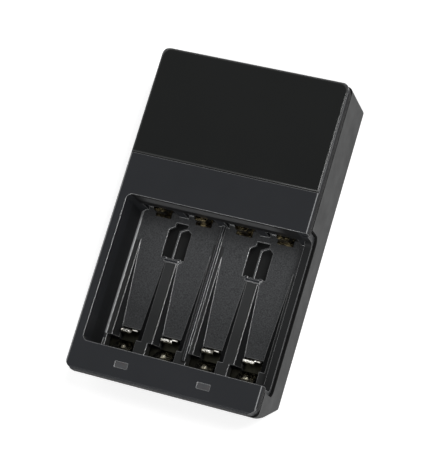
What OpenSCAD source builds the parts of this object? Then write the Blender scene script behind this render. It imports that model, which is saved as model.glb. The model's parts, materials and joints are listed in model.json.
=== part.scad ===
// Plug-in charger for four AA or AAA rechargeable cells.
// The back lies on z = 0, the face looks up, the gloss end is towards +Y.

/* [Body] */
// Width across the four cells
body_w = 70; // [70:1:84]
// Length from the plain end to the gloss end
body_l = 119; // [117:1:135]
// Thickness from the back to the satin face
body_t = 28; // [28:0.5:34]
// Radius of the four corners of the front
corner_r = 3.5; // [3:0.5:6]
// Radius of the four corners of the rear housing
housing_r = 2; // [1.5:0.25:4]
// Radius of the edge round the face
face_r = 1; // [0.6:0.1:1.4]
// Radius of the edges round the back
back_r = 1; // [1:0.25:3]
// Wall of the rear housing
shell = 2; // [1.6:0.1:2.4]
// Wall of the front behind the face
face_wall = 2; // [1.8:0.1:3]
// Height of the parting line below the face
part_drop = 4.4; // [3.5:0.1:6]
// Open joint between front and rear halves
part_gap = 0.65; // [0.1:0.05:0.8]
// Straight height of the plain end below the face
end_straight = 6.4; // [5.5:0.1:9]
// How far the plain end leans in at the back
end_slope = 7.7; // [4:0.1:7.8]

/* [Face] */
// Length of the gloss panel
gloss_l = 40.2; // [34:0.1:46]
// Thickness of the gloss panel
gloss_t = 1.3; // [1.2:0.1:1.5]
// How far the gloss panel stands proud of the face
gloss_proud = 0.3; // [0.2:0.1:0.5]
// Rim left round the gloss panel
gloss_rim = 0.4; // [0.4:0.1:1]
// Groove along the lower edge of the gloss panel
gloss_gap = 0.3; // [0.2:0.1:0.6]
// Length of an indicator window
led_w = 4.6; // [3:0.1:6]
// Height of an indicator window
led_h = 2; // [1.5:0.1:2.6]
// Distance between the two indicator windows
led_pitch = 30.1; // [24:0.1:32]

/* [Cells] */
// Diameter of an AA cell
aa_d = 14.5; // [13.8:0.1:14.7]
// Length of an AA cell
aa_l = 50.5; // [49.5:0.1:51]
// Diameter of an AAA cell
aaa_d = 10.5; // [10:0.1:10.7]
// Length of an AAA cell
aaa_l = 44.5; // [44:0.1:45]
// Distance between neighbouring lanes
lane_pitch = 15.4; // [15.2:0.1:15.8]
// Room beside an AAA cell between the crests of its channel
cell_gap = 0.45; // [0.3:0.05:0.6]

/* [Tray] */
// Distance from the plain end to the bay
bay_end = 10.5; // [9.5:0.1:12]
// Bezel left of the bay
bay_side = 3.6; // [3.3:0.1:3.8]
// Radius of the bay corners
bay_r = 2; // [1:0.25:3]
// Radius at the foot of the left wall of the bay
foot_r = 1; // [0.5:0.1:1.4]
// Thickness of the tray floor
floor_t = 1.3; // [1:0.1:1.4]
// Room under the tray for the contact strip
under_gap = 2.1; // [2:0.1:3]
// Depth of the contact wells below the lands
well_depth = 3.2; // [3:0.1:3.6]
// Length of the land that the wells take away at the plain end
well_l = 6.9; // [6.7:0.1:7.4]
// Distance from the bay edge to the start of the channels
ramp_in = 10.6; // [8:0.1:14]
// Fall of a channel floor towards the plain end
ramp_drop = 2.5; // [1.8:0.1:2.8]
// Wall at the gloss end of the bay
top_wall = 2; // [1.8:0.1:2.4]
// Wall at the plain end of the bay
end_wall = 2; // [1.8:0.1:2.1]
// Clearance between tray and rear housing
tray_gap = 0.2; // [0.1:0.05:0.3]
// Height of the rib between the middle lanes
rib_h = 2; // [1:0.1:3]
// Thickness of that rib
rib_t = 0.9; // [0.8:0.1:1.4]
// Width of the opening in a divider
window_w = 8.6; // [7:0.1:9]
// Length of the opening in a divider
window_l = 10.2; // [8:0.1:10.6]
// Width of the neck of that opening
neck_w = 4.7; // [3.5:0.1:5.5]
// Length of the shoulder of that opening
shoulder_l = 1.4; // [1:0.1:2.2]
// Length of the neck of that opening
neck_l = 1.5; // [1.2:0.1:2.4]
// Distance from the bay edge to the neck
neck_top = 2.3; // [2.1:0.1:3]
// Thickness of the bar in that opening
bar_t = 0.6; // [0.5:0.05:0.9]
// Width of the ledge below that opening
ledge_w = 5.4; // [4.6:0.1:6]

/* [Side notch] */
// Depth of the side notch below the face
notch_depth = 15; // [14:0.1:15.4]
// Rim of the tray at the gloss end of the notch
rim_top = 2.2; // [1.4:0.1:2.4]
// Rim of the tray at the plain end of the notch
rim_end = 1; // [0.8:0.1:1.6]
// Rim of the tray along the foot of the notch
rim_low = 1.3; // [1.2:0.1:2]
// How far that rim stays inside the outer wall
rim_in = 0.9; // [0.1:0.1:1]
// Open joint between that rim and the rear housing
notch_gap = 0.5; // [0.2:0.05:0.6]
// Radius of the notch corners
notch_r = 3; // [2:0.25:4]

/* [Contacts] */
// Thickness of the contact metal
leaf_t = 0.4; // [0.3:0.05:0.5]
// Width of a positive contact
pos_w = 8; // [7:0.1:8.2]
// Height of the stamped nub of a positive contact
nub_h = 1.8; // [1.4:0.1:2]
// Width of that nub
nub_w = 5.8; // [5:0.1:6]
// Depth of the recess that holds the positive contacts
pocket = 1.2; // [1:0.1:1.4]
// Room behind an AA cell for its sprung contact
aa_room = 2.1; // [1.9:0.1:2.4]
// Travel of an AA contact
aa_push = 4; // [3.6:0.1:4.2]
// Height of the bend of an AA contact above the well floor
aa_rise = 7.2; // [6.9:0.1:7.4]
// Travel of an AAA contact
aaa_push = 2.2; // [1.6:0.1:2.3]
// Width of an AA contact
aa_leaf_w = 6.6; // [6:0.1:6.8]
// Width of the rolled leaf of an AAA contact
aaa_leaf_w = 4.2; // [3.6:0.1:4.6]
// Width of the slot for an AAA contact
aaa_slot_w = 7; // [6.4:0.1:7.2]
// Clearance beside a moving contact
leaf_gap = 0.4; // [0.3:0.05:0.5]
// Radius of the roll at the root of a contact
root_r = 0.5; // [0.4:0.05:0.5]

/* [Folding plug] */
// Distance from the gloss end to the plug pivot
pivot_in = 11; // [10.8:0.1:12]
// Height of the pivot above the back
pivot_z = 6; // [5.9:0.1:6.2]
// Radius of the plug barrel
barrel_r = 5.4; // [5.2:0.1:5.5]
// Width of the plug recess
recess_w = 24; // [22:0.5:26]
// Radius of the plug trunnions
trunnion_r = 2; // [1.6:0.1:2.4]
// Running clearance of the trunnions
trunnion_gap = 0.05; // [0.03:0.01:0.08]
// Clearance round the plug barrel
barrel_gap = 0.5; // [0.4:0.05:0.6]
// Distance between the two blades
blade_pitch = 12.7; // [12:0.1:13]
// Thickness of a blade
blade_t = 1.5; // [1.4:0.05:1.6]
// Width of a blade
blade_w = 6.35; // [6:0.05:6.6]
// Length of a blade outside the barrel
blade_l = 17.2; // [16:0.1:18]

/* [Inside] */
// Thickness of the circuit boards
board_t = 1.6; // [1.2:0.1:1.6]
// Gap between the main board and the screw posts
board_gap = 0.7; // [0.5:0.1:2]
// Radius of the screw shank
screw_r = 1.25; // [1:0.05:1.5]
// Radius of the screw head
head_r = 2.4; // [2:0.1:2.6]
// Distance of the screws from the side
screw_side = 5.7; // [5.6:0.1:6.2]

/* [Hidden] */
$fn = 64;

big = 200;
side_x = body_w / 2;
end_y = body_l / 2;
part_z = body_t - part_drop;
slope_z = body_t - end_straight;
slope_len = sqrt(end_slope * end_slope + slope_z * slope_z);

// Bay and lanes
bay_x0 = -side_x + bay_side;
bay_x1 = -bay_x0;
bay_y0 = -end_y + bay_end;
cell_end_y = bay_y0 + aa_room;
nub_y = cell_end_y + aa_l;
bay_y1 = nub_y + leaf_t + nub_h - pocket;
tray_wall = bay_side - shell - tray_gap;
tray_z = shell + under_gap;
well_z = tray_z + floor_t;
land_z = well_z + well_depth;
land_end_y = bay_y0 + well_l;
crest = aaa_d / 2 + cell_gap;
aaa_end_y = nub_y - aaa_l;
ramp_y = bay_y1 - ramp_in;
ramp_slope = ramp_drop / (ramp_y - land_end_y);
lanes = [-1.5, -0.5, 0.5, 1.5] * lane_pitch;
well_x0 = 0.4 - lane_pitch / 2;
well_x1 = aa_leaf_w / 2 + leaf_gap;

// Side notch
notch_z = body_t - notch_depth;
clear_z = notch_z + notch_gap + rim_low;

// Folding plug
pivot_y = end_y - pivot_in;
recess_wall = 2;
recess_lid = 1.5;
recess_z = pivot_z + barrel_r + barrel_gap;
recess_y1 = pivot_y + barrel_r + barrel_gap;
blade_tip_y = pivot_y - barrel_r - blade_l;
recess_y0 = blade_tip_y - 2.2;
spring_t = barrel_gap - 0.15;
tail_h = 2.4;
tail_y = sqrt(barrel_r * barrel_r - tail_h * tail_h / 4) - 0.05;

// Screws
screw_x = side_x - screw_side;
post_r = 3;
sleeve_r = post_r + 0.6;
seat_z = 6;
screw_bite = 6;

// Main board
board_z0 = recess_z + recess_lid + 0.2;
board_z1 = board_z0 + board_t;
tab_l = 2;
board_y0 = bay_y1 + top_wall + 1;
board_y1 = end_y - shell - 2;
board_w = 2 * (screw_x - sleeve_r - board_gap);
post_z = board_z0;
screw_ys = [board_y0 + tab_l + post_r + 0.4, end_y - 6.4];

// Positive contacts
lip_gap = 0.1;
lip_out = 0.6;
tab_z = board_z1;
pos_z1 = tab_z + leaf_t;
pos_h = pos_z1 - land_z - lip_gap;
pocket_z1 = pos_z1 + 0.4;
plate_y = bay_y1 + pocket - leaf_t;
tab_w = 4;

// Negative contacts
bus_t = leaf_t;
bus_gap = 0.7;
bus_end = 3;
bus_z1 = tray_z - bus_gap;
bus_z0 = bus_z1 - bus_t;
bus_y0 = bay_y0 + 0.2;
bus_y1 = land_end_y - 0.5;
aa_root_y = bay_y0 + 1.1;
aa_root_z = well_z + aa_rise;
aa_tip_y = cell_end_y + aa_push;
aa_tip_z = well_z + 0.4;
aa_tilt = atan2(aa_root_z - aa_tip_z, aa_tip_y - aa_root_y);
aa_leg_y1 = aa_root_y - root_r - 0.1;
dimple_h = 0.7;
aa_flat = 13.3;
dimple_z = land_z + (aa_d - aa_flat) / 2;
dimple_y = aa_root_y + (aa_tip_y - aa_root_y) * (aa_root_z - dimple_z) / (aa_root_z - aa_tip_z);
roll_r = 0.6;
aaa_root_z = bus_z1 + root_r + 0.1;
aaa_face_y = aaa_end_y + aaa_push;
aaa_root_in = 1.5;
aaa_root_y = aaa_face_y + aaa_root_in;
aaa_knee = 1.4;
aaa_stand = 0.2;
aaa_top_z = land_z - 0.3;
aaa_lip = 1.2;
aaa_plate_w = aaa_slot_w - 2 * leaf_gap;
aaa_shift = (aaa_leaf_w - aaa_plate_w) / 2;
slot_aaa_y1 = aaa_face_y + 2 * leaf_gap;
slot_aaa_y0 = land_end_y - 1;

// Indicators
led_y = (bay_y0 - end_y) / 2;
pipe_flange = 1;
pipe_rim = 0.8;
pipe_z0 = body_t - face_wall - 3.6;
led_body_h = 1.4;
led_board_z1 = pipe_z0 - 0.4 - led_body_h;
led_board_t = 1.2;
led_board_y0 = led_y - 1.9;
led_board_y1 = led_y + 2.2;
led_post_r = 1.6;
led_post_x = (led_pitch + led_w) / 2 + pipe_rim + led_post_r + 0.4;
led_board_w = 2 * (led_post_x + 2);

function arc(c, r, a0, a1, n) = [for (i = [0 : n]) let (a = a0 + (a1 - a0) * i / n) c + r * [cos(a), sin(a)]];
function slope_y(i, z) = -end_y + (i * slope_len + (slope_z - z) * end_slope) / slope_z;
function slope_top(i) = slope_z + i * (slope_len - slope_z) / end_slope;

// A shape in the plane of length and height, drawn out across the width
module across(x0, x1) {
    translate([x0, 0, 0]) rotate([90, 0, 90]) linear_extrude(x1 - x0) children();
}

// A shape in the plane of width and height, drawn out along the length
module along(y0, y1) {
    translate([0, y1, 0]) rotate([90, 0, 0]) linear_extrude(y1 - y0) children();
}

module block(x, y, z) {
    translate([x[0], y[0], z[0]]) cube([x[1] - x[0], y[1] - y[0], z[1] - z[0]]);
}

module round_rect(x, y, r) {
    translate([x[0] + r, y[0]]) square([x[1] - x[0] - 2 * r, y[1] - y[0]]);
    translate([x[0], y[0] + r]) square([x[1] - x[0], y[1] - y[0] - 2 * r]);
    for (cx = [x[0] + r, x[1] - r], cy = [y[0] + r, y[1] - r]) translate([cx, cy]) circle(r);
}

module plan(inset, r) {
    round_rect([inset - side_x, side_x - inset], [inset - end_y, end_y - inset], r - inset / 2);
}

// Side view: upright gloss end, plain end that leans in towards the back
module side_outline(inset) {
    fr = max(face_r - inset, 0.05);
    br = max(back_r - inset, 0.05);
    y0 = inset - end_y;
    y1 = end_y - inset;
    polygon(concat(
        arc([y0 + fr, body_t - fr], fr, 90, 180, 5),
        [[y0, slope_top(inset)], [slope_y(inset, inset + 1), inset + 1], [slope_y(inset, inset) + 1, inset]],
        arc([y1 - br, inset + br], br, -90, 0, 5),
        arc([y1 - fr, body_t - fr], fr, 0, 90, 5)));
}

module front_outline(inset) {
    fr = max(face_r - inset, 0.05);
    br = max(back_r - inset, 0.05);
    x = side_x - inset;
    polygon(concat(
        arc([x - fr, body_t - fr], fr, 0, 90, 5),
        arc([fr - x, body_t - fr], fr, 90, 180, 5),
        arc([br - x, inset + br], br, 180, 270, 5),
        arc([x - br, inset + br], br, 270, 360, 5)));
}

module body_form(inset, z0, z1, r) {
    intersection() {
        translate([0, 0, z0]) linear_extrude(z1 - z0) plan(inset, r);
        across(-side_x, side_x) side_outline(inset);
        along(-end_y, end_y) front_outline(inset);
    }
}

// Side notch, open upwards, with rounded lower corners
module notch_outline(y0, y1, z0, r) {
    translate([y0 + r, z0]) square([y1 - y0 - 2 * r, big]);
    translate([y0, z0 + r]) square([y1 - y0, big]);
    for (cy = [y0 + r, y1 - r]) translate([cy, z0 + r]) circle(r);
}

// Plug recess with its walls in the rear housing
module recess_walls() {
    w = recess_w / 2 + recess_wall;
    block([-w, w], [recess_y0 - recess_wall, recess_y1 + 1], [0.5, recess_z + recess_lid]);
}

module recess_space() {
    w = recess_w / 2;
    block([-w, w], [recess_y0, recess_y1], [-1, recess_z]);
    translate([-w - recess_wall - 1, pivot_y, pivot_z]) rotate([0, 90, 0])
        cylinder(r = trunnion_r + trunnion_gap, h = recess_w + 2 * recess_wall + 2);
    for (s = [-1, 1]) translate([s * blade_pitch / 2, pivot_y, recess_z - 1]) cylinder(r = 0.6, h = recess_lid + 2);
}

module at_screws() {
    for (s = [-1, 1], y = screw_ys) translate([s * screw_x, y, 0]) children();
}

module rear_housing() color([0.33, 0.335, 0.34]) {
    difference() {
        union() {
            difference() {
                body_form(0, 0, part_z, housing_r);
                body_form(shell, shell, body_t, housing_r);
                across(side_x - shell - 0.5, side_x + 1)
                    notch_outline(bay_y0 - rim_end - notch_gap, bay_y1 + rim_top + notch_gap, notch_z, notch_r);
            }
            recess_walls();
            at_screws() translate([0, 0, shell - 0.5]) cylinder(r = sleeve_r, h = post_z - shell + 0.5);
            for (s = [-1, 1], y = [board_y0 + 5, board_y1 - 7])
                translate([s * (board_w / 2 - 5), y, shell - 0.5]) cylinder(r = 2.4, h = board_z0 - shell + 0.5);
            for (x = lanes) block([x - 3, x + 3], [bus_y0 + 1.4, bus_y1 - 1.4], [shell - 0.5, bus_z0]);
        }
        recess_space();
        at_screws() {
            translate([0, 0, -1]) cylinder(r = head_r + 0.3, h = seat_z + 1);
            cylinder(r = screw_r + 0.3, h = big);
        }
    }
}

// Channel for the small cell: its crests run level, its floor falls towards the plain end
module channel(extra, y0) {
    deep = ramp_drop + floor_t + 1;
    w = crest + extra;
    intersection() {
        along(y0, ramp_y + extra)
            polygon([[-w, land_z + 0.5], [w, land_z + 0.5], [w, land_z], [w - deep, land_z - deep], [deep - w, land_z - deep], [-w, land_z]]);
        across(-w, w) polygon([[ramp_y + extra, land_z + 0.5], [ramp_y + extra, land_z - extra],
            [ramp_y, land_z - extra], [y0, land_z - extra - ramp_slope * (ramp_y - y0)], [y0, land_z + 0.5]]);
    }
}

module bay_plan() {
    round_rect([bay_x0, bay_x0 + 4 * bay_r], [bay_y0, bay_y1], bay_r);
    translate([bay_x0 + 2 * bay_r, bay_y0]) square([bay_x1 - bay_x0 - 2 * bay_r, bay_y1 - bay_y0]);
}

// Opening in a divider: a body with shoulders and a neck
module window_plan(grow) {
    y2 = bay_y1 - neck_top;
    y1 = y2 - neck_l;
    ys = y1 - shoulder_l;
    b = window_w / 2 + grow;
    n = neck_w / 2 + grow;
    polygon([[-b, ys - window_l], [b, ys - window_l], [b, ys], [n, y1], [n, y2], [-n, y2], [-n, y1], [-b, ys]]);
}

module cover() {
    difference() {
        body_form(0, part_z + part_gap, body_t + 1, corner_r);
        body_form(shell, part_z - 1, body_t - face_wall, corner_r);
        translate([0, 0, body_t - gloss_t + gloss_proud]) linear_extrude(big) gloss_plan(gloss_rim, 0);
    }
    difference() {
        body_form(shell + 0.1, part_z - 1.5, body_t - face_wall + 0.5, corner_r);
        body_form(shell + 1.1, part_z - 2, body_t - face_wall, corner_r);
    }
}

module basin() {
    x0 = bay_x0 - tray_wall;
    x1 = bay_x1 + tray_wall;
    block([x0, x1], [bay_y0 - end_wall, bay_y1 + top_wall], [land_z - floor_t, body_t - face_wall + 0.5]);
    intersection() {
        block([x0, x1], [bay_y0 - end_wall, bay_y1], [tray_z, land_z]);
        for (x = lanes) translate([x, 0, 0]) {
            channel(floor_t, land_end_y);
            block([well_x0 - floor_t, well_x1 + floor_t], [bay_y0 - end_wall, land_end_y + floor_t], [tray_z, land_z]);
        }
    }
}

module notch_rim() {
    across(bay_x1, side_x - rim_in) intersection() {
        difference() {
            notch_outline(bay_y0 - rim_end, bay_y1 + rim_top, notch_z + notch_gap, notch_r - notch_gap);
            notch_outline(bay_y0, bay_y1, clear_z, notch_r - 1);
        }
        translate([-end_y, 0]) square([body_l, body_t - face_wall + 0.5]);
    }
}

// Openings of one lane: recess and slot of the positive contact, slots of the sprung ones
module contact_slots() {
    block([-pos_w + 1.8, pos_w - 2.4], [bay_y1 - 1, bay_y1 + pocket], [land_z, pocket_z1]);
    block([-pos_w + 2.2, -nub_w / 2 - 0.5], [bay_y1, bay_y1 + top_wall + 1], [land_z + 0.6, pocket_z1 - 1.2]);
    block([-tab_w / 2 - 0.2, tab_w / 2 + 0.2], [bay_y1, bay_y1 + top_wall + 1], [tab_z - 0.1, pocket_z1]);
    block([-aaa_slot_w / 2, aaa_slot_w / 2], [slot_aaa_y0, slot_aaa_y1], [0, land_z]);
}

// Wells of the sprung contacts at the plain end, open to the strip below
module wells() {
    intersection() {
        block([bay_x0, bay_x1], [bay_y0, land_end_y], [0, land_z + 0.1]);
        for (x = lanes) block([x + well_x0, x + well_x1], [bay_y0 - 1, land_end_y + 1], [0, big]);
    }
}

module front_tray() color([0.17, 0.175, 0.185]) {
    difference() {
        union() {
            cover();
            basin();
            notch_rim();
            at_screws() translate([0, 0, post_z]) cylinder(r = post_r, h = body_t - face_wall - post_z + 0.5);
            for (s = [-1, 1]) translate([s * led_post_x, led_y, led_board_z1])
                cylinder(r = led_post_r, h = body_t - face_wall - led_board_z1 + 0.5);
        }
        translate([0, 0, land_z]) linear_extrude(big) bay_plan();
        across(bay_x1 - 0.01, side_x + 1) notch_outline(bay_y0, bay_y1, clear_z, notch_r - 1);
        for (x = lanes) translate([x, 0, 0]) {
            channel(0, land_end_y - 0.01);
            contact_slots();
        }
        wells();
        for (s = [-1, 1]) translate([s * lane_pitch, 0, 0]) linear_extrude(land_z + 1) window_plan(0);
        for (s = [-1, 1]) translate([s * led_pitch / 2, led_y, 0])
            block([-led_w / 2, led_w / 2], [-led_h / 2, led_h / 2], [part_z, big]);
        at_screws() cylinder(r = screw_r, h = body_t - face_wall - 1);
    }
    block([-rib_t / 2, rib_t / 2], [land_end_y - 3, bay_y1 + 0.5], [land_z - floor_t, land_z + rib_h]);
    wall_foot();
    for (s = [-1, 1]) translate([s * lane_pitch, 0, 0]) window_bar();
}

// Round at the foot of the left wall of the bay
module wall_foot() {
    along(land_end_y - 2, bay_y1) translate([bay_x0, land_z]) difference() {
        translate([-0.2, -0.2]) square(foot_r + 0.2);
        translate([foot_r, foot_r]) circle(foot_r);
    }
}

// Thin bar with a bent head in a divider opening, and the notched ledge below it
module window_bar() {
    y2 = bay_y1 - neck_top - neck_l;
    y1 = y2 - shoulder_l;
    foot = y1 - window_l;
    n = neck_w / 2;
    translate([0, 0, land_z - floor_t]) linear_extrude(floor_t)
        polygon(strip_outline([[0, foot - 0.4], [0, y1], [n + 0.5, y2 + 0.5 * shoulder_l / n]], bar_t));
    block([-ledge_w / 2, ledge_w / 2], [foot - 1.5, foot - 0.5], [land_z - floor_t, land_z + 0.5]);
    for (s = [-1, 1]) block([s * ledge_w / 2 - 0.6, s * ledge_w / 2 + 0.6], [foot - 0.9, foot + 0.2], [land_z - floor_t, land_z + 0.3]);
}

module gloss_plan(inset, gap) {
    y0 = end_y - gloss_l + gap;
    intersection() {
        plan(inset, corner_r);
        translate([-side_x, y0]) square([body_w, gloss_l]);
    }
}

module gloss_panel() color([0.07, 0.072, 0.075]) {
    z0 = body_t - gloss_t + gloss_proud;
    translate([0, 0, z0]) linear_extrude(gloss_t - 0.2) gloss_plan(gloss_rim + 0.05, gloss_gap);
    translate([0, 0, z0 + gloss_t - 0.2]) linear_extrude(0.2) gloss_plan(gloss_rim + 0.2, gloss_gap + 0.15);
}

// Plate with a stamped nub, a lip on the floor and a tab that runs through the wall to the main board
module positive_contact(i) color([0.5, 0.42, 0.27]) translate([lanes[i], 0, 0]) {
    z0 = land_z + lip_gap;
    x0 = -nub_w / 2 - 0.1;
    block([x0, x0 + pos_w], [plate_y, plate_y + leaf_t], [z0, pos_z1]);
    block([-nub_w / 2, nub_w / 2], [nub_y - lip_out, plate_y + 0.1], [z0, z0 + leaf_t]);
    block([-tab_w / 2, tab_w / 2], [plate_y, board_y0 + tab_l], [tab_z, tab_z + leaf_t]);
    translate([0, 0, z0 + 1.2]) linear_extrude(pos_h - 2.2)
        polygon([[-nub_w / 2, plate_y + 0.1], [-nub_w / 2 + 1, nub_y], [nub_w / 2 - 1, nub_y], [nub_w / 2, plate_y + 0.1]]);
}

// Outline of a folded strip of metal in side view, with mitred bends
function unit(v) = v / norm(v);
function left_of(v) = [-v[1], v[0]];
function bend(p, i) = let (a = unit(p[max(i, 1)] - p[max(i, 1) - 1]),
    k = min(i, len(p) - 2), b = unit(p[k + 1] - p[k])) (left_of(a) + left_of(b)) / (1 + a * b);
function strip_outline(p, t) = concat([for (i = [0 : len(p) - 1]) p[i] + bend(p, i) * t / 2],
    [for (i = [len(p) - 1 : -1 : 0]) p[i] - bend(p, i) * t / 2]);

module strip(p, w) {
    across(-w / 2, w / 2) polygon(strip_outline(p, leaf_t));
}

module root_roll(w, y, z) {
    translate([-w / 2, y, z]) rotate([0, 90, 0]) cylinder(r = root_r, h = w);
}

// Leaf that slopes forward and down from its bend, with a dimple that meets the flat end of an AA cell
module aa_contact(i) color([0.45, 0.41, 0.32]) translate([lanes[i], 0, 0]) {
    root_roll(aa_leaf_w, aa_root_y, aa_root_z);
    strip([[aa_root_y, aa_root_z], [aa_tip_y - 0.7, aa_tip_z + 0.7 * tan(aa_tilt)], [aa_tip_y, aa_tip_z]], aa_leaf_w);
    translate([0, dimple_y, dimple_z]) rotate([-aa_tilt, 0, 0])
        cylinder(r1 = 1.7, r2 = 0.8, h = dimple_h + leaf_t / 2);
}

// Low plate that stands up from a root in front of it; part of its top is rolled back
module aaa_contact(i) color([0.72, 0.7, 0.66]) translate([lanes[i], 0, 0]) {
    face_y = aaa_face_y - leaf_t / 2;
    knee = [face_y, aaa_root_z + aaa_knee];
    roll_z = aaa_top_z - roll_r;
    root_roll(aaa_plate_w, aaa_root_y, aaa_root_z);
    strip([[aaa_root_y, aaa_root_z], knee, [face_y, roll_z]], aaa_plate_w);
    translate([aaa_shift, 0, 0]) strip(concat([knee], arc([face_y - roll_r, roll_z], roll_r, 0, 180, 6),
        [[face_y - 2 * roll_r, roll_z - aaa_lip]]), aaa_leaf_w);
    translate([aaa_leaf_w / 2, 0, 0]) strip([knee, [face_y, aaa_top_z + aaa_stand]], aaa_plate_w - aaa_leaf_w);
}

// Strip under the tray with an upright leg behind each AA contact, and a run to the main board
module negative_bus() color([0.5, 0.46, 0.36]) {
    riser_y = board_y0 + 1.2;
    block([bay_x0 + 1, lanes[3] + bus_end], [bus_y0, bus_y1], [bus_z0, bus_z1]);
    for (c = lanes) {
        block([c - aa_leaf_w / 2 + 0.3, c + aa_leaf_w / 2 - 0.3], [aa_leg_y1 - bus_t, aa_leg_y1], [bus_z0, aa_root_z + 0.2]);
        translate([c, 0, 0]) block([-aaa_plate_w / 2, aaa_plate_w / 2], [bus_y1 - 0.1, aaa_root_y + 0.8], [bus_z0, bus_z1]);
    }
    block([-1.5, 1.5], [bus_y1 - 0.1, riser_y], [bus_z0, bus_z1]);
    block([-1.5, 1.5], [riser_y - bus_t, riser_y], [bus_z0, board_z0]);
}

module led_window(s) color([0.32, 0.32, 0.33]) translate([s * led_pitch / 2, led_y, 0]) {
    block([-led_w / 2, led_w / 2], [-led_h / 2, led_h / 2], [pipe_z0, body_t - 0.1]);
    block([-led_w / 2 - pipe_rim, led_w / 2 + pipe_rim], [-led_h / 2 - 0.6, led_h / 2 + 0.6],
        [body_t - face_wall - pipe_flange, body_t - face_wall]);
}

module led_board() color([0.1, 0.35, 0.2])
    block([-led_board_w / 2, led_board_w / 2], [led_board_y0, led_board_y1], [led_board_z1 - led_board_t, led_board_z1]);

module led(s) color([0.9, 0.9, 0.85]) translate([s * led_pitch / 2, led_y, led_board_z1])
    block([-1.6, 1.6], [-0.9, 0.9], [0, led_body_h]);

module main_board() color([0.1, 0.35, 0.2])
    block([-board_w / 2, board_w / 2], [board_y0, board_y1], [board_z0, board_z1]);

// Ferrite frame with a middle leg, and the winding on that leg
room_h = body_t - face_wall - board_z1;
coil_x = 5.6;
coil_y = 4.9;
coil_h = room_h - 1.6;
yoke_x = 2.6;
yoke_y = 2.3;
leg_x = 2.3;
leg_z0 = 2.3;
leg_z1 = coil_h - leg_z0;
chip_in = 9;
chip_w = 10;
chip_l = 4;
bridge_in = 5;
bridge_w = 8;
bridge_l = 6.4;
trafo_x = -12;
trafo_y = (board_y0 + chip_in + chip_l / 2 + board_y1 - bridge_in - bridge_l / 2) / 2;
trafo_at = [trafo_x, trafo_y, board_z1];
can_r = (coil_h - 1.2) / 2;
can_l = 14;
can_x = 9;
can_in = 24;
small_can_r = can_r - 0.85;
small_can_l = 11;
can_space = 2.35;
small_can_x = can_x + can_r + small_can_r + can_space;
bridge_x = -16;
fuse_r = 1.8;
fuse_l = 10;
fuse_x = 16;

module transformer_core() color([0.2, 0.2, 0.21]) translate(trafo_at) difference() {
    block([-coil_x - yoke_x, coil_x + yoke_x], [-coil_y - yoke_y, coil_y + yoke_y], [leg_z0, leg_z1]);
    for (s = [-1, 1]) translate([s * (leg_x + coil_x + 0.3) / 2, 0, 0])
        block([(leg_x - coil_x - 0.3) / 2, (coil_x + 0.3 - leg_x) / 2], [-coil_y - 0.1, coil_y + 0.1], [0, coil_h]);
}

module transformer_coil() color([0.75, 0.65, 0.2]) translate(trafo_at) difference() {
    block([-coil_x, coil_x], [-coil_y, coil_y], [0, coil_h]);
    block([-leg_x, leg_x], [-coil_y - 1, coil_y + 1], [leg_z0, leg_z1]);
}

module lying_can(r, h) {
    rotate([-90, 0, 0]) cylinder(r = r, h = h);
}

module mains_capacitor() color([0.15, 0.2, 0.35]) translate([can_x, board_y1 - can_in, board_z1 + can_r]) lying_can(can_r, can_l);

module output_capacitor() color([0.15, 0.2, 0.35]) translate([small_can_x, board_y1 - can_in, board_z1 + small_can_r])
    lying_can(small_can_r, small_can_l);

module bridge_rectifier() color([0.15, 0.15, 0.15]) translate([bridge_x, board_y1 - bridge_in, board_z1])
    block([-bridge_w / 2, bridge_w / 2], [-bridge_l / 2, bridge_l / 2], [0, 2.5]);

module controller_chip() color([0.12, 0.12, 0.13]) translate([0, board_y0 + chip_in, board_z1])
    block([-chip_w / 2, chip_w / 2], [-chip_l / 2, chip_l / 2], [0, 1.6]);

module fuse() color([0.85, 0.85, 0.8]) translate([fuse_x, board_y1 - bridge_in, board_z1 + fuse_r]) rotate([0, -90, 0])
    cylinder(r = fuse_r, h = fuse_l);

// Barrel that turns on its trunnions in the rear housing
module plug_barrel() color([0.12, 0.12, 0.125]) {
    w = recess_w / 2;
    difference() {
        union() {
            translate([-w + 0.35, pivot_y, pivot_z]) rotate([0, 90, 0]) cylinder(r = barrel_r, h = recess_w - 0.7);
            translate([-w - recess_wall + 0.2, pivot_y, pivot_z]) rotate([0, 90, 0])
                cylinder(r = trunnion_r, h = recess_w + 2 * recess_wall - 0.4);
        }
        for (s = [-1, 1]) blade_form(s);
    }
}

// Flat blade with chamfered tip, a hole, and a narrow tail through the barrel
module blade_form(s) {
    h = blade_w / 2;
    x = s * blade_pitch / 2;
    difference() {
        across(x - blade_t / 2, x + blade_t / 2) translate([pivot_y, pivot_z])
            polygon([[tail_y, tail_h / 2], [1, tail_h / 2], [1, h], [blade_tip_y + 1.2 - pivot_y, h],
                [blade_tip_y - pivot_y, h - 1.6], [blade_tip_y - pivot_y, 1.6 - h], [blade_tip_y + 1.2 - pivot_y, -h],
                [1, -h], [1, -tail_h / 2], [tail_y, -tail_h / 2]]);
        translate([x - blade_t, blade_tip_y + 8.5, pivot_z]) rotate([0, 90, 0]) cylinder(r = 1.6, h = 2 * blade_t);
    }
}

module plug_blade(s) color([0.78, 0.76, 0.7]) blade_form(s);

// Spring that a blade's tail meets when the plug is out, with its pin to the main board
module mains_spring(s) color([0.75, 0.65, 0.4]) translate([s * blade_pitch / 2, pivot_y, 0]) {
    block([-1.5, 1.5], [-3, 3], [recess_z - spring_t, recess_z]);
    translate([0, 0, recess_z - 0.1]) cylinder(r = 0.6, h = board_z0 - recess_z + 0.1);
}

module housing_screws() color([0.6, 0.6, 0.6]) at_screws() {
    translate([0, 0, seat_z - 2]) cylinder(r = head_r, h = 2);
    translate([0, 0, seat_z - 0.5]) cylinder(r = screw_r, h = post_z - seat_z + screw_bite);
}

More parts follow.
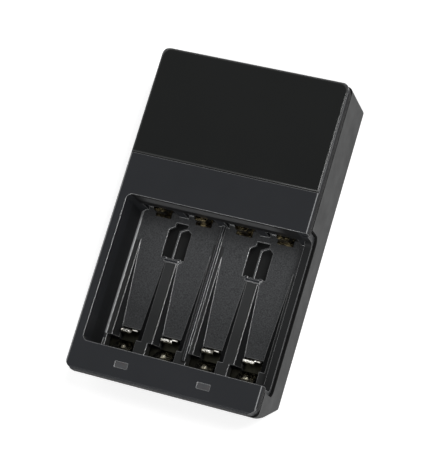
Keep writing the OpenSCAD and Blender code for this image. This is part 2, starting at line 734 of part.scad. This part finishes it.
rear_housing();
front_tray();
gloss_panel();
positive_contact(0);  // positive_contact_1
positive_contact(1);  // positive_contact_2
positive_contact(2);  // positive_contact_3
positive_contact(3);  // positive_contact_4
aa_contact(0);  // aa_contact_1
aa_contact(1);  // aa_contact_2
aa_contact(2);  // aa_contact_3
aa_contact(3);  // aa_contact_4
aaa_contact(0);  // aaa_contact_1
aaa_contact(1);  // aaa_contact_2
aaa_contact(2);  // aaa_contact_3
aaa_contact(3);  // aaa_contact_4
negative_bus();
led_window(-1);  // led_window_left
led_window(1);  // led_window_right
led_board();
led(-1);  // led_left
led(1);  // led_right
main_board();
transformer_core();
transformer_coil();
mains_capacitor();
output_capacitor();
bridge_rectifier();
controller_chip();
fuse();
plug_barrel();
plug_blade(-1);  // plug_blade_left
plug_blade(1);  // plug_blade_right
mains_spring(-1);  // mains_spring_left
mains_spring(1);  // mains_spring_right
housing_screws();
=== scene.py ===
import json
import bpy
from mathutils import Matrix, Vector

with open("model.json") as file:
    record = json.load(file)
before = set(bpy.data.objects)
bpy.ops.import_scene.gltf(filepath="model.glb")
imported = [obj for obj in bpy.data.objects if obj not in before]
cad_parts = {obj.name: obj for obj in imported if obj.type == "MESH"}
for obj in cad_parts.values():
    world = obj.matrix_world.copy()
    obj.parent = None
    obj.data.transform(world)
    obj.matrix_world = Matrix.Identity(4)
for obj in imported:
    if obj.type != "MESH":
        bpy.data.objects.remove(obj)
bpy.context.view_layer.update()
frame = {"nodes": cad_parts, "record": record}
nodes = frame["nodes"]
scene = bpy.context.scene

# Masks are set in millimetres, while object coordinates are in metres.
MM = 1000.0
MASK_SHARP = 6.0            # rise of a mask per millimetre
NOISE_RANGE = (0.25, 0.75)  # holds most of the values of a noise texture
CLOUD = 45.0                # noise scales, from slow changes of tone to fine grain
SMUDGE = 160.0
GRAIN = 3500.0
GRAIN_HEIGHT = 0.00002


class Tree:
    """Short way to add nodes to a material."""

    def __init__(self, name):
        self.mat = bpy.data.materials.new(name)
        self.mat.use_nodes = True
        self.t = self.mat.node_tree
        self.t.nodes.clear()
        self.out = self.add("ShaderNodeOutputMaterial")
        self.coord = self.add("ShaderNodeTexCoord").outputs["Object"]

    def add(self, kind, **props):
        node = self.t.nodes.new(kind)
        for key, value in props.items():
            setattr(node, key, value)
        return node

    def link(self, a, b):
        self.t.links.new(a, b)

    def math(self, op, a, b=None, clamp=False):
        node = self.add("ShaderNodeMath", operation=op, use_clamp=clamp)
        for i, v in enumerate((a, b)):
            if v is None:
                continue
            if isinstance(v, (int, float)):
                node.inputs[i].default_value = v
            else:
                self.link(v, node.inputs[i])
        return node.outputs[0]

    def times(self, first, *others):
        for other in others:
            first = self.math("MULTIPLY", first, other)
        return first

    def most(self, a, b):
        return self.math("MAXIMUM", a, b)

    def less(self, a, b):
        return self.math("SUBTRACT", a, b)

    def plus(self, a, b):
        return self.math("ADD", a, b)

    def but(self, mask):
        """The opposite of a mask."""
        return self.less(1.0, mask)

    def below(self, value, limit, sharp=MASK_SHARP):
        """One where value is under limit, with a short ramp."""
        return self.math("MULTIPLY", self.less(limit, value), sharp, True)

    def within(self, value, low, high, sharp=MASK_SHARP):
        return self.times(self.below(low, value, sharp), self.below(value, high, sharp))

    def place(self):
        """Object coordinates in millimetres."""
        xyz = self.add("ShaderNodeSeparateXYZ")
        self.link(self.coord, xyz.inputs[0])
        return [self.math("MULTIPLY", xyz.outputs[i], MM) for i in range(3)]

    def noise(self, scale, detail=3.0, rough=0.5, stretch=None):
        source = self.coord
        if stretch:
            m = self.add("ShaderNodeMapping")
            m.inputs["Scale"].default_value = stretch
            self.link(self.coord, m.inputs["Vector"])
            source = m.outputs["Vector"]
        n = self.add("ShaderNodeTexNoise")
        n.inputs["Scale"].default_value = scale
        n.inputs["Detail"].default_value = detail
        n.inputs["Roughness"].default_value = rough
        self.link(source, n.inputs["Vector"])
        return n.outputs["Fac"]

    def span(self, value, lo=0.0, hi=1.0, source=NOISE_RANGE):
        m = self.add("ShaderNodeMapRange")
        m.inputs["From Min"].default_value, m.inputs["From Max"].default_value = source
        m.inputs["To Min"].default_value = lo
        m.inputs["To Max"].default_value = hi
        self.link(value, m.inputs["Value"])
        return m.outputs["Result"]

    def mix(self, fac, a, b):
        m = self.add("ShaderNodeMix", data_type="RGBA")
        self.link(fac, m.inputs[0])
        for i, v in ((6, a), (7, b)):
            if isinstance(v, tuple):
                m.inputs[i].default_value = (*v, 1.0)
            else:
                self.link(v, m.inputs[i])
        return m.outputs[2]

    def shader(self, metallic=0.0, spec=0.5, coat_rough=0.03):
        p = self.add("ShaderNodeBsdfPrincipled")
        p.inputs["Metallic"].default_value = metallic
        p.inputs["Specular IOR Level"].default_value = spec
        p.inputs["Coat Roughness"].default_value = coat_rough
        self.link(p.outputs["BSDF"], self.out.inputs["Surface"])
        return p

    def edge(self, radius):
        """Normal that is rounded near edges."""
        b = self.add("ShaderNodeBevel", samples=6)
        b.inputs["Radius"].default_value = radius
        return b.outputs["Normal"]

    def polish_and_painted_highlight(self, softened, start, full):
        """One along edges, where the rounded normal leaves the face's own, and none elsewhere."""
        dot = self.add("ShaderNodeVectorMath", operation="DOT_PRODUCT")
        self.link(softened, dot.inputs[0])
        self.link(self.add("ShaderNodeNewGeometry").outputs["Normal"], dot.inputs[1])
        return self.span(self.but(dot.outputs["Value"]), source=(start, full))

    def lean(self, low, high):
        """One where the height part of a face's normal lies between low and high."""
        up = self.add("ShaderNodeSeparateXYZ")
        self.link(self.add("ShaderNodeNewGeometry").outputs["True Normal"], up.inputs[0])
        over = self.below(low, up.outputs[2], 30.0)
        return self.times(over, self.below(up.outputs[2], high, 60.0))

    def bump(self, height, strength, distance, normal):
        b = self.add("ShaderNodeBump")
        b.inputs["Strength"].default_value = strength
        b.inputs["Distance"].default_value = distance
        self.link(height, b.inputs["Height"])
        self.link(normal, b.inputs["Normal"])
        return b.outputs["Normal"]


def scaled(color, k):
    return tuple(c * k for c in color)


def plastic(name, color, rough, depth=0.2, vary=0.12):
    """Moulded plastic: spark-eroded grain, faint flow marks, softened edges."""
    t = Tree(name)
    p = t.shader()
    cloud = t.span(t.noise(CLOUD, 2.0))
    t.link(t.mix(cloud, scaled(color, 1 - vary), scaled(color, 1 + vary)), p.inputs["Base Color"])
    t.link(t.span(t.noise(SMUDGE), *rough), p.inputs["Roughness"])
    grain = t.noise(GRAIN, 2.0, 0.6)
    t.link(t.bump(grain, depth, GRAIN_HEIGHT, t.edge(0.00025)), p.inputs["Normal"])
    return t.mat


def metal(name, color, dark, rough=(0.18, 0.34), lines=(1.0, 14.0, 14.0),
          patch=420.0, wear=(0.45, 0.75), dents=0.0):
    """Stamped strip metal: rolling lines, tarnish in patches, softened edges, small dents."""
    t = Tree(name)
    p = t.shader(metallic=1.0)
    tarnish = t.span(t.noise(patch, 4.0, 0.6), source=wear)
    roll = t.noise(700.0, 2.0, 0.5, lines)
    t.link(t.mix(tarnish, color, dark), p.inputs["Base Color"])
    t.link(t.span(roll, *rough), p.inputs["Roughness"])
    normal = t.bump(roll, 0.12, GRAIN_HEIGHT, t.edge(0.0001))
    if dents:
        normal = t.bump(t.noise(1400.0, 2.0, 0.5), dents, 0.0005, normal)
    t.link(normal, p.inputs["Normal"])
    return t.mat


# Rear housing: the cut faces of the side notch, and the height of the joint with the front, where shade
# is painted
NOTCH_Y = (-50.7, 7.567)
NOTCH_X = (32.0, 34.967)
NOTCH_FOOT = 12.5
JOINT_FOOT = 23.25
# near-black painted shade for the joint with the front and the cut faces of the side notch
JOINT_SHADE = (0.003, 0.003, 0.003)


def housing_plastic(name, color):
    """Grey housing, with near-black painted shade in the joint with the front and on the cut faces of
    the side notch.
    """
    t = Tree(name)
    p = t.shader(spec=0.19)
    x, y, z = t.place()
    notch = t.times(t.below(NOTCH_Y[0], y), t.below(y, NOTCH_Y[1]), t.below(NOTCH_X[0], x),
                    t.below(x, NOTCH_X[1]), t.below(NOTCH_FOOT, z))
    # painted shade: the joint with the front and the cut faces of the side notch are coloured near
    # black, where shade falls in the gaps
    joint = t.most(notch, t.below(JOINT_FOOT, z))
    cloud = t.span(t.noise(CLOUD, 2.0))
    body = t.mix(cloud, scaled(color, 0.93), scaled(color, 1.07))
    t.link(t.mix(joint, body, JOINT_SHADE), p.inputs["Base Color"])
    rough = t.span(t.noise(SMUDGE), 0.5, 0.6)
    t.link(t.plus(rough, t.times(joint, 0.4)), p.inputs["Roughness"])
    grain = t.noise(GRAIN, 2.0, 0.6)
    t.link(t.bump(grain, 0.2, GRAIN_HEIGHT, t.edge(0.0003)), p.inputs["Normal"])
    return t.mat


# Front tray: places in millimetres
PITCH = 15.4                     # from lane to lane
CHANNEL_HALF = 5.7               # half width of a channel where it starts
CHANNEL_START = -6.0             # it draws in from here towards the plain end
CHANNEL_RATE = 0.0693            # by this much per millimetre
CHANNEL_DRAW = 2.5               # and by this much at most
UPPER_END = -2.5                 # where the level floor at the gloss end stops
UPPER_DIVIDER = 9.9              # how much further it runs at the dividers
UPPER_SIDE = 4.5                 # and beside the outer lanes
FLOOR_TOP = 8.72
FLOOR_HALF = 32.0
WELL_END = -42.2                 # the wells of the sprung contacts start here
RIM_HALF, RIM_TOP = 31.3, 20.0   # rim of the side notch
RIM_Y = (-49.2, 4.9)
RIM_EDGE, RIM_FOOT = 34.5, 14.4
FOOT_X, FOOT_TOP = -30.55, 9.3   # round at the foot of the left wall
FOOT_END = 4.5
WALL_Y, WALL_Z = (4.3, 5.0), (16.2, 27.7)   # bay wall at the gloss end
WALL_HALF = 31.2
BAND_X, BAND_Z = (-29.5, 26.0), (19.8, 26.7)  # paler band on that wall
OUTSIDE = (32.2, 56.8)           # past these, to the side or the ends, is the outer skirt
SKIRT = (34.6, 59.1)
SKIRT_TOP = 27.4
SEAM_Z = (23.0, 24.35)           # joint with the rear housing
ROUND_Z, ROUND_END = 26.5, -57.6  # rounded long edges of the face

# Front tray: colours
FACE = ((0.021, 0.0222, 0.0245), (0.0245, 0.0257, 0.0285))
LAND = ((0.03, 0.031, 0.0315), (0.036, 0.037, 0.0375))
BED = ((0.024, 0.025, 0.026), (0.082, 0.084, 0.087))
PALE = ((0.066, 0.067, 0.068), (0.1, 0.101, 0.103))
RIM = (0.015, 0.0155, 0.016)
# painted shade on the sloped flanks of the bay floor
FLANK_SHADE = (0.012, 0.0125, 0.013)
# painted highlight on the round at the foot of the left wall
FOOT_HIGHLIGHT = (0.2, 0.204, 0.208)
# painted shade on the bay wall at the gloss end, around its paler band
WALL_SHADE = (0.01, 0.01, 0.0105)
# painted shade on the outer skirt, the sides and ends of the front
SKIRT_SHADE = (0.005, 0.005, 0.0055)
# painted shade in the joint with the rear housing and on the outer face of the notch rim
SEAM_SHADE = (0.002, 0.002, 0.002)
# painted highlight along the edges
EDGE_HIGHLIGHT = (0.24, 0.243, 0.247)


def tray_plastic(name):
    """Satin front: textured channel floors, smoother lands, painted shade on the flanks, wall, skirt and
    joint, painted highlights on the edges and the wall foot, and a glossy coat on the edges.
    """
    t = Tree(name)
    p = t.shader(spec=0.06, coat_rough=0.18)
    p.inputs["Coat IOR"].default_value = 1.9
    x, y, z = t.place()
    side = t.math("ABSOLUTE", x)
    end = t.math("ABSOLUTE", y)

    # Floor of the bay: channels, lands, flanks with painted shade, and the level part at the gloss end
    lane = t.math("FLOORED_MODULO", t.plus(x, 2 * PITCH), PITCH)
    off = t.math("ABSOLUTE", t.less(lane, PITCH / 2))
    draw = t.most(t.times(t.less(CHANNEL_START, y), CHANNEL_RATE), 0.0)
    draw = t.math("MINIMUM", draw, CHANNEL_DRAW)
    channel = t.below(off, t.less(CHANNEL_HALF, draw))
    divider = t.within(side, PITCH / 2, PITCH * 1.5, 2.0)
    level = t.less(UPPER_END, t.times(divider, UPPER_DIVIDER))
    level = t.less(level, t.times(t.below(PITCH * 1.5, side, 2.0), UPPER_SIDE))
    upper = t.below(level, y)
    floor = t.times(t.below(z, FLOOR_TOP, 10.0), t.below(side, FLOOR_HALF))
    matte = t.times(t.most(channel, upper), floor, t.below(WELL_END, y))
    # painted shade: faces on the bay floor sloped between about 37 and 53 degrees are coloured dark
    flank = t.times(t.lean(0.6, 0.8), floor)
    foot = t.times(t.below(x, FOOT_X), t.below(z, FOOT_TOP), t.within(y, WELL_END, FOOT_END),
                   t.lean(0.35, 0.97))

    # Walls, rim of the side notch, outer skirt and joint, with painted shade on the wall, the skirt and
    # the joint
    rim = t.times(t.below(RIM_HALF, side), t.below(z, RIM_TOP), t.within(y, *RIM_Y))
    wall = t.times(t.within(y, *WALL_Y), t.within(z, *WALL_Z), t.below(side, WALL_HALF))
    band = t.times(t.below(BAND_Z[0], z, 0.8), t.below(z, BAND_Z[1], 0.9), t.within(x, *BAND_X, 0.2))
    outside = t.most(t.below(OUTSIDE[0], side), t.below(OUTSIDE[1], end))
    # painted shade: the outer skirt of the front below the face is coloured near black
    skirt = t.most(t.below(SKIRT[0], side), t.below(SKIRT[1], end))
    skirt = t.times(skirt, t.below(z, SKIRT_TOP))
    # painted shade: the joint with the rear housing, and the outer face of the notch rim below its edge,
    # are coloured black
    seam = t.times(outside, t.within(z, *SEAM_Z))
    seam = t.most(seam, t.times(rim, t.below(RIM_EDGE, side), t.below(z, RIM_FOOT)))
    seam = t.times(seam, t.but(wall))

    # Edges: painted highlight in the base colour, with lower roughness and a glossy coat
    soft = t.edge(0.00032)
    # painted highlight: the rounded long edges of the face, except at the plain end, join the edge mask
    rounded = t.times(t.lean(0.8, 0.985), t.below(ROUND_Z, z), t.below(ROUND_END, y))
    polish_and_painted_highlight = t.times(t.most(t.polish_and_painted_highlight(soft, 0.01, 0.06), rounded), t.but(seam))
    polish = t.times(t.most(polish_and_painted_highlight, t.times(foot, 0.3)), t.but(outside))

    cloud = t.span(t.noise(CLOUD, 2.0))
    speck = t.span(t.noise(2600.0, 2.0, 0.7))
    base = t.mix(rim, t.mix(floor, t.mix(cloud, *FACE), t.mix(cloud, *LAND)), RIM)
    base = t.mix(flank, t.mix(matte, base, t.mix(speck, *BED)), FLANK_SHADE)
    # painted highlight: the round at the foot of the left wall is coloured light grey
    base = t.mix(foot, base, FOOT_HIGHLIGHT)
    # painted shade: the bay wall at the gloss end is coloured darker than the face, around the paler
    # band
    base = t.mix(wall, base, t.mix(band, WALL_SHADE, t.mix(speck, *PALE)))
    base = t.mix(seam, t.mix(skirt, base, SKIRT_SHADE), SEAM_SHADE)
    # painted highlight: edges are coloured light grey
    t.link(t.mix(polish_and_painted_highlight, base, EDGE_HIGHLIGHT), p.inputs["Base Color"])
    t.link(polish, p.inputs["Coat Weight"])
    t.link(soft, p.inputs["Coat Normal"])

    rough = t.span(t.noise(SMUDGE), 0.38, 0.46)
    rough = t.plus(rough, t.times(t.most(matte, skirt), 0.18))
    rough = t.plus(rough, t.times(seam, 0.5))
    t.link(t.less(rough, t.times(polish_and_painted_highlight, 0.2)), p.inputs["Roughness"])
    coarse = t.times(t.noise(2200.0, 2.0, 0.7), matte)
    grain = t.plus(t.times(t.noise(GRAIN, 2.0, 0.6), 0.4), coarse)
    t.link(t.bump(grain, 0.3, 0.00003, soft), p.inputs["Normal"])
    return t.mat


def gloss(name):
    """Piano-gloss panel with faint smudges and polished edges."""
    t = Tree(name)
    p = t.shader(spec=0.14, coat_rough=0.08)
    cloud = t.span(t.noise(30.0, 2.0))
    dark, pale = (0.0036, 0.0043, 0.0042), (0.005, 0.0057, 0.0055)
    t.link(t.mix(cloud, dark, pale), p.inputs["Base Color"])
    t.link(t.span(t.noise(90.0, 5.0, 0.6), 0.05, 0.11), p.inputs["Roughness"])
    soft = t.edge(0.0008)
    t.link(t.bump(t.noise(25.0, 1.0), 0.02, 0.0004, soft), p.inputs["Normal"])
    t.link(t.polish_and_painted_highlight(soft, 0.004, 0.04), p.inputs["Coat Weight"])
    t.link(soft, p.inputs["Coat Normal"])
    return t.mat


def lens(name):
    """Milky grey light pipe."""
    t = Tree(name)
    p = t.shader(spec=0.25)
    p.inputs["Subsurface Weight"].default_value = 0.15
    p.inputs["Subsurface Scale"].default_value = 0.001
    cloud = t.span(t.noise(500.0, 2.0))
    t.link(t.mix(cloud, (0.046, 0.046, 0.048), (0.057, 0.057, 0.06)), p.inputs["Base Color"])
    t.link(t.span(t.noise(900.0), 0.3, 0.42), p.inputs["Roughness"])
    t.link(t.bump(t.noise(3000.0), 0.1, GRAIN_HEIGHT, t.edge(0.00015)), p.inputs["Normal"])
    return t.mat


# Looks by material slot
looks = {
    "satin_black": tray_plastic("tray_plastic"),
    "housing_grey": housing_plastic("housing_plastic", (0.015, 0.0155, 0.0157)),
    "gloss_black": gloss("gloss_panel_plastic"),
    "bronze": metal("bronze_strip", (0.3, 0.23, 0.12), (0.05, 0.038, 0.02)),
    "lens_grey": lens("lens_plastic"),
    "board_green": plastic("board_laminate", (0.03, 0.14, 0.06), (0.3, 0.45)),
    "led_white": plastic("led_moulding", (0.75, 0.75, 0.7), (0.25, 0.4)),
    "ferrite": plastic("ferrite_block", (0.05, 0.05, 0.055), (0.6, 0.75), depth=0.4),
    "winding": plastic("winding_tape", (0.6, 0.45, 0.08), (0.35, 0.5)),
    "can_sleeve": plastic("can_sleeve", (0.02, 0.03, 0.09), (0.2, 0.32)),
    "chip_black": plastic("chip_moulding", (0.02, 0.02, 0.022), (0.5, 0.65)),
    "fuse_glass": plastic("fuse_body", (0.7, 0.7, 0.66), (0.15, 0.3)),
    "plug_black": plastic("plug_plastic", (0.022, 0.022, 0.023), (0.4, 0.5)),
    "blade_nickel": metal("blade_strip", (0.68, 0.64, 0.56), (0.5, 0.45, 0.38), (0.2, 0.3),
                          lines=(14.0, 1.0, 14.0)),
    "screw_steel": metal("screw_metal", (0.5, 0.5, 0.5), (0.3, 0.3, 0.3)),
}

# Contacts with their own look, by the start of the node's name: the AA contacts, the negative bus and
# the positive contacts are darkened metal, painted shade in their wells and pockets
contact_looks = {
    "aa_contact": metal("aa_strip", (0.3, 0.285, 0.225), (0.035, 0.033, 0.025), (0.12, 0.28),
                        wear=(0.35, 0.62), dents=0.4),
    "aaa_contact": metal("aaa_strip", (0.9, 0.88, 0.82), (0.09, 0.08, 0.056), (0.1, 0.26),
                         patch=700.0, wear=(0.45, 0.62), dents=0.7),
    "negative_bus": metal("bus_strip", (0.02, 0.0195, 0.0145), (0.008, 0.0077, 0.0058),
                          (0.28, 0.42)),
    "positive_contact": metal("positive_strip", (0.22, 0.18, 0.1), (0.018, 0.0145, 0.009),
                              (0.12, 0.28), wear=(0.33, 0.52), dents=0.5),
}


def look_of(entry):
    for start, look in contact_looks.items():
        if entry["node"].startswith(start):
            return look
    return looks[entry["material_slot"]]


for entry in frame["record"]["subparts"]:
    for slot in nodes[entry["node"]].material_slots:
        slot.material = look_of(entry)


# Floor and lights
FLOOR_HALF_SIZE = 4.0
FLOOR_GLOW = 0.5


def floor_material():
    """Pale floor that keeps shadows and shows white to the camera, to metal and to glass."""
    t = Tree("studio_floor")
    diffuse = t.add("ShaderNodeBsdfDiffuse")
    cloud = t.span(t.noise(3.0, 2.0))
    t.link(t.mix(cloud, (0.86, 0.86, 0.86), (0.88, 0.88, 0.88)), diffuse.inputs["Color"])
    glow = t.add("ShaderNodeEmission")
    rays = t.add("ShaderNodeLightPath")
    seen = t.math("ADD", rays.outputs["Is Camera Ray"], rays.outputs["Is Glossy Ray"], True)
    seen = t.math("ADD", seen, rays.outputs["Is Transmission Ray"], True)
    t.link(t.times(seen, FLOOR_GLOW), glow.inputs["Strength"])
    both = t.add("ShaderNodeAddShader")
    t.link(diffuse.outputs[0], both.inputs[0])
    t.link(glow.outputs[0], both.inputs[1])
    t.link(both.outputs[0], t.out.inputs["Surface"])
    return t.mat


mesh = bpy.data.meshes.new("floor")
corners = [(-1, -1), (1, -1), (1, 1), (-1, 1)]
mesh.from_pydata([(a * FLOOR_HALF_SIZE, b * FLOOR_HALF_SIZE, 0) for a, b in corners], [], [(0, 1, 2, 3)])
floor = bpy.data.objects.new("floor", mesh)
scene.collection.objects.link(floor)
mesh.materials.append(floor_material())


def softbox(name, place, size, power, aim=(0, 0, 0.02)):
    data = bpy.data.lights.new(name, "AREA")
    data.shape = "RECTANGLE"
    data.size, data.size_y = size
    data.energy = power
    lamp = bpy.data.objects.new(name, data)
    lamp.location = place
    lamp.rotation_euler = (Vector(aim) - Vector(place)).to_track_quat("-Z", "Y").to_euler()
    scene.collection.objects.link(lamp)


softbox("front", (0.1, -1.1, 0.8), (1.0, 0.6), 9.0)
softbox("top", (0.52, 0.22, 1.06), (0.35, 0.5), 7.0)

# World: plain light on the object, white to the camera, to metal and to glass
WORLD_LIGHT, WORLD_WHITE = 0.3, 1.0
world = bpy.data.worlds.new("studio")
world.use_nodes = True
scene.world = world
wt = world.node_tree
back = wt.nodes["Background"]
back.inputs["Color"].default_value = (1, 1, 1, 1)
rays = wt.nodes.new("ShaderNodeLightPath")
pick = wt.nodes.new("ShaderNodeMapRange")
pick.inputs["To Min"].default_value = WORLD_LIGHT
pick.inputs["To Max"].default_value = WORLD_WHITE
seen = rays.outputs["Is Camera Ray"]
for kind in ("Is Glossy Ray", "Is Transmission Ray"):
    either = wt.nodes.new("ShaderNodeMath")
    either.operation = "MAXIMUM"
    wt.links.new(seen, either.inputs[0])
    wt.links.new(rays.outputs[kind], either.inputs[1])
    seen = either.outputs[0]
wt.links.new(seen, pick.inputs["Value"])
wt.links.new(pick.outputs["Result"], back.inputs["Strength"])

# Camera fitted to the photograph, which is 465 pixels high
FOCAL_PX, PHOTO_HEIGHT = 1825.32, 465.0
SENSOR = 24.0
cam = bpy.data.cameras.new("photo_view")
cam.sensor_fit = "VERTICAL"
cam.sensor_height = SENSOR
cam.lens = FOCAL_PX * SENSOR / PHOTO_HEIGHT
cam.clip_start = 0.01
view = bpy.data.objects.new("photo_view", cam)
right = Vector((0.92723, 0.28342, -0.24477))
down = Vector((0.21632, -0.9389, -0.26771))
ahead = Vector((-0.30568, 0.19528, -0.93189))
m = Matrix.Identity(4)
for i in range(3):
    m[i][0], m[i][1], m[i][2] = right[i], -down[i], -ahead[i]
m.translation = Vector((0.19387, -0.12381, 0.60869))
view.matrix_world = m
scene.collection.objects.link(view)
scene.camera = view

scene.view_settings.view_transform = "Standard"
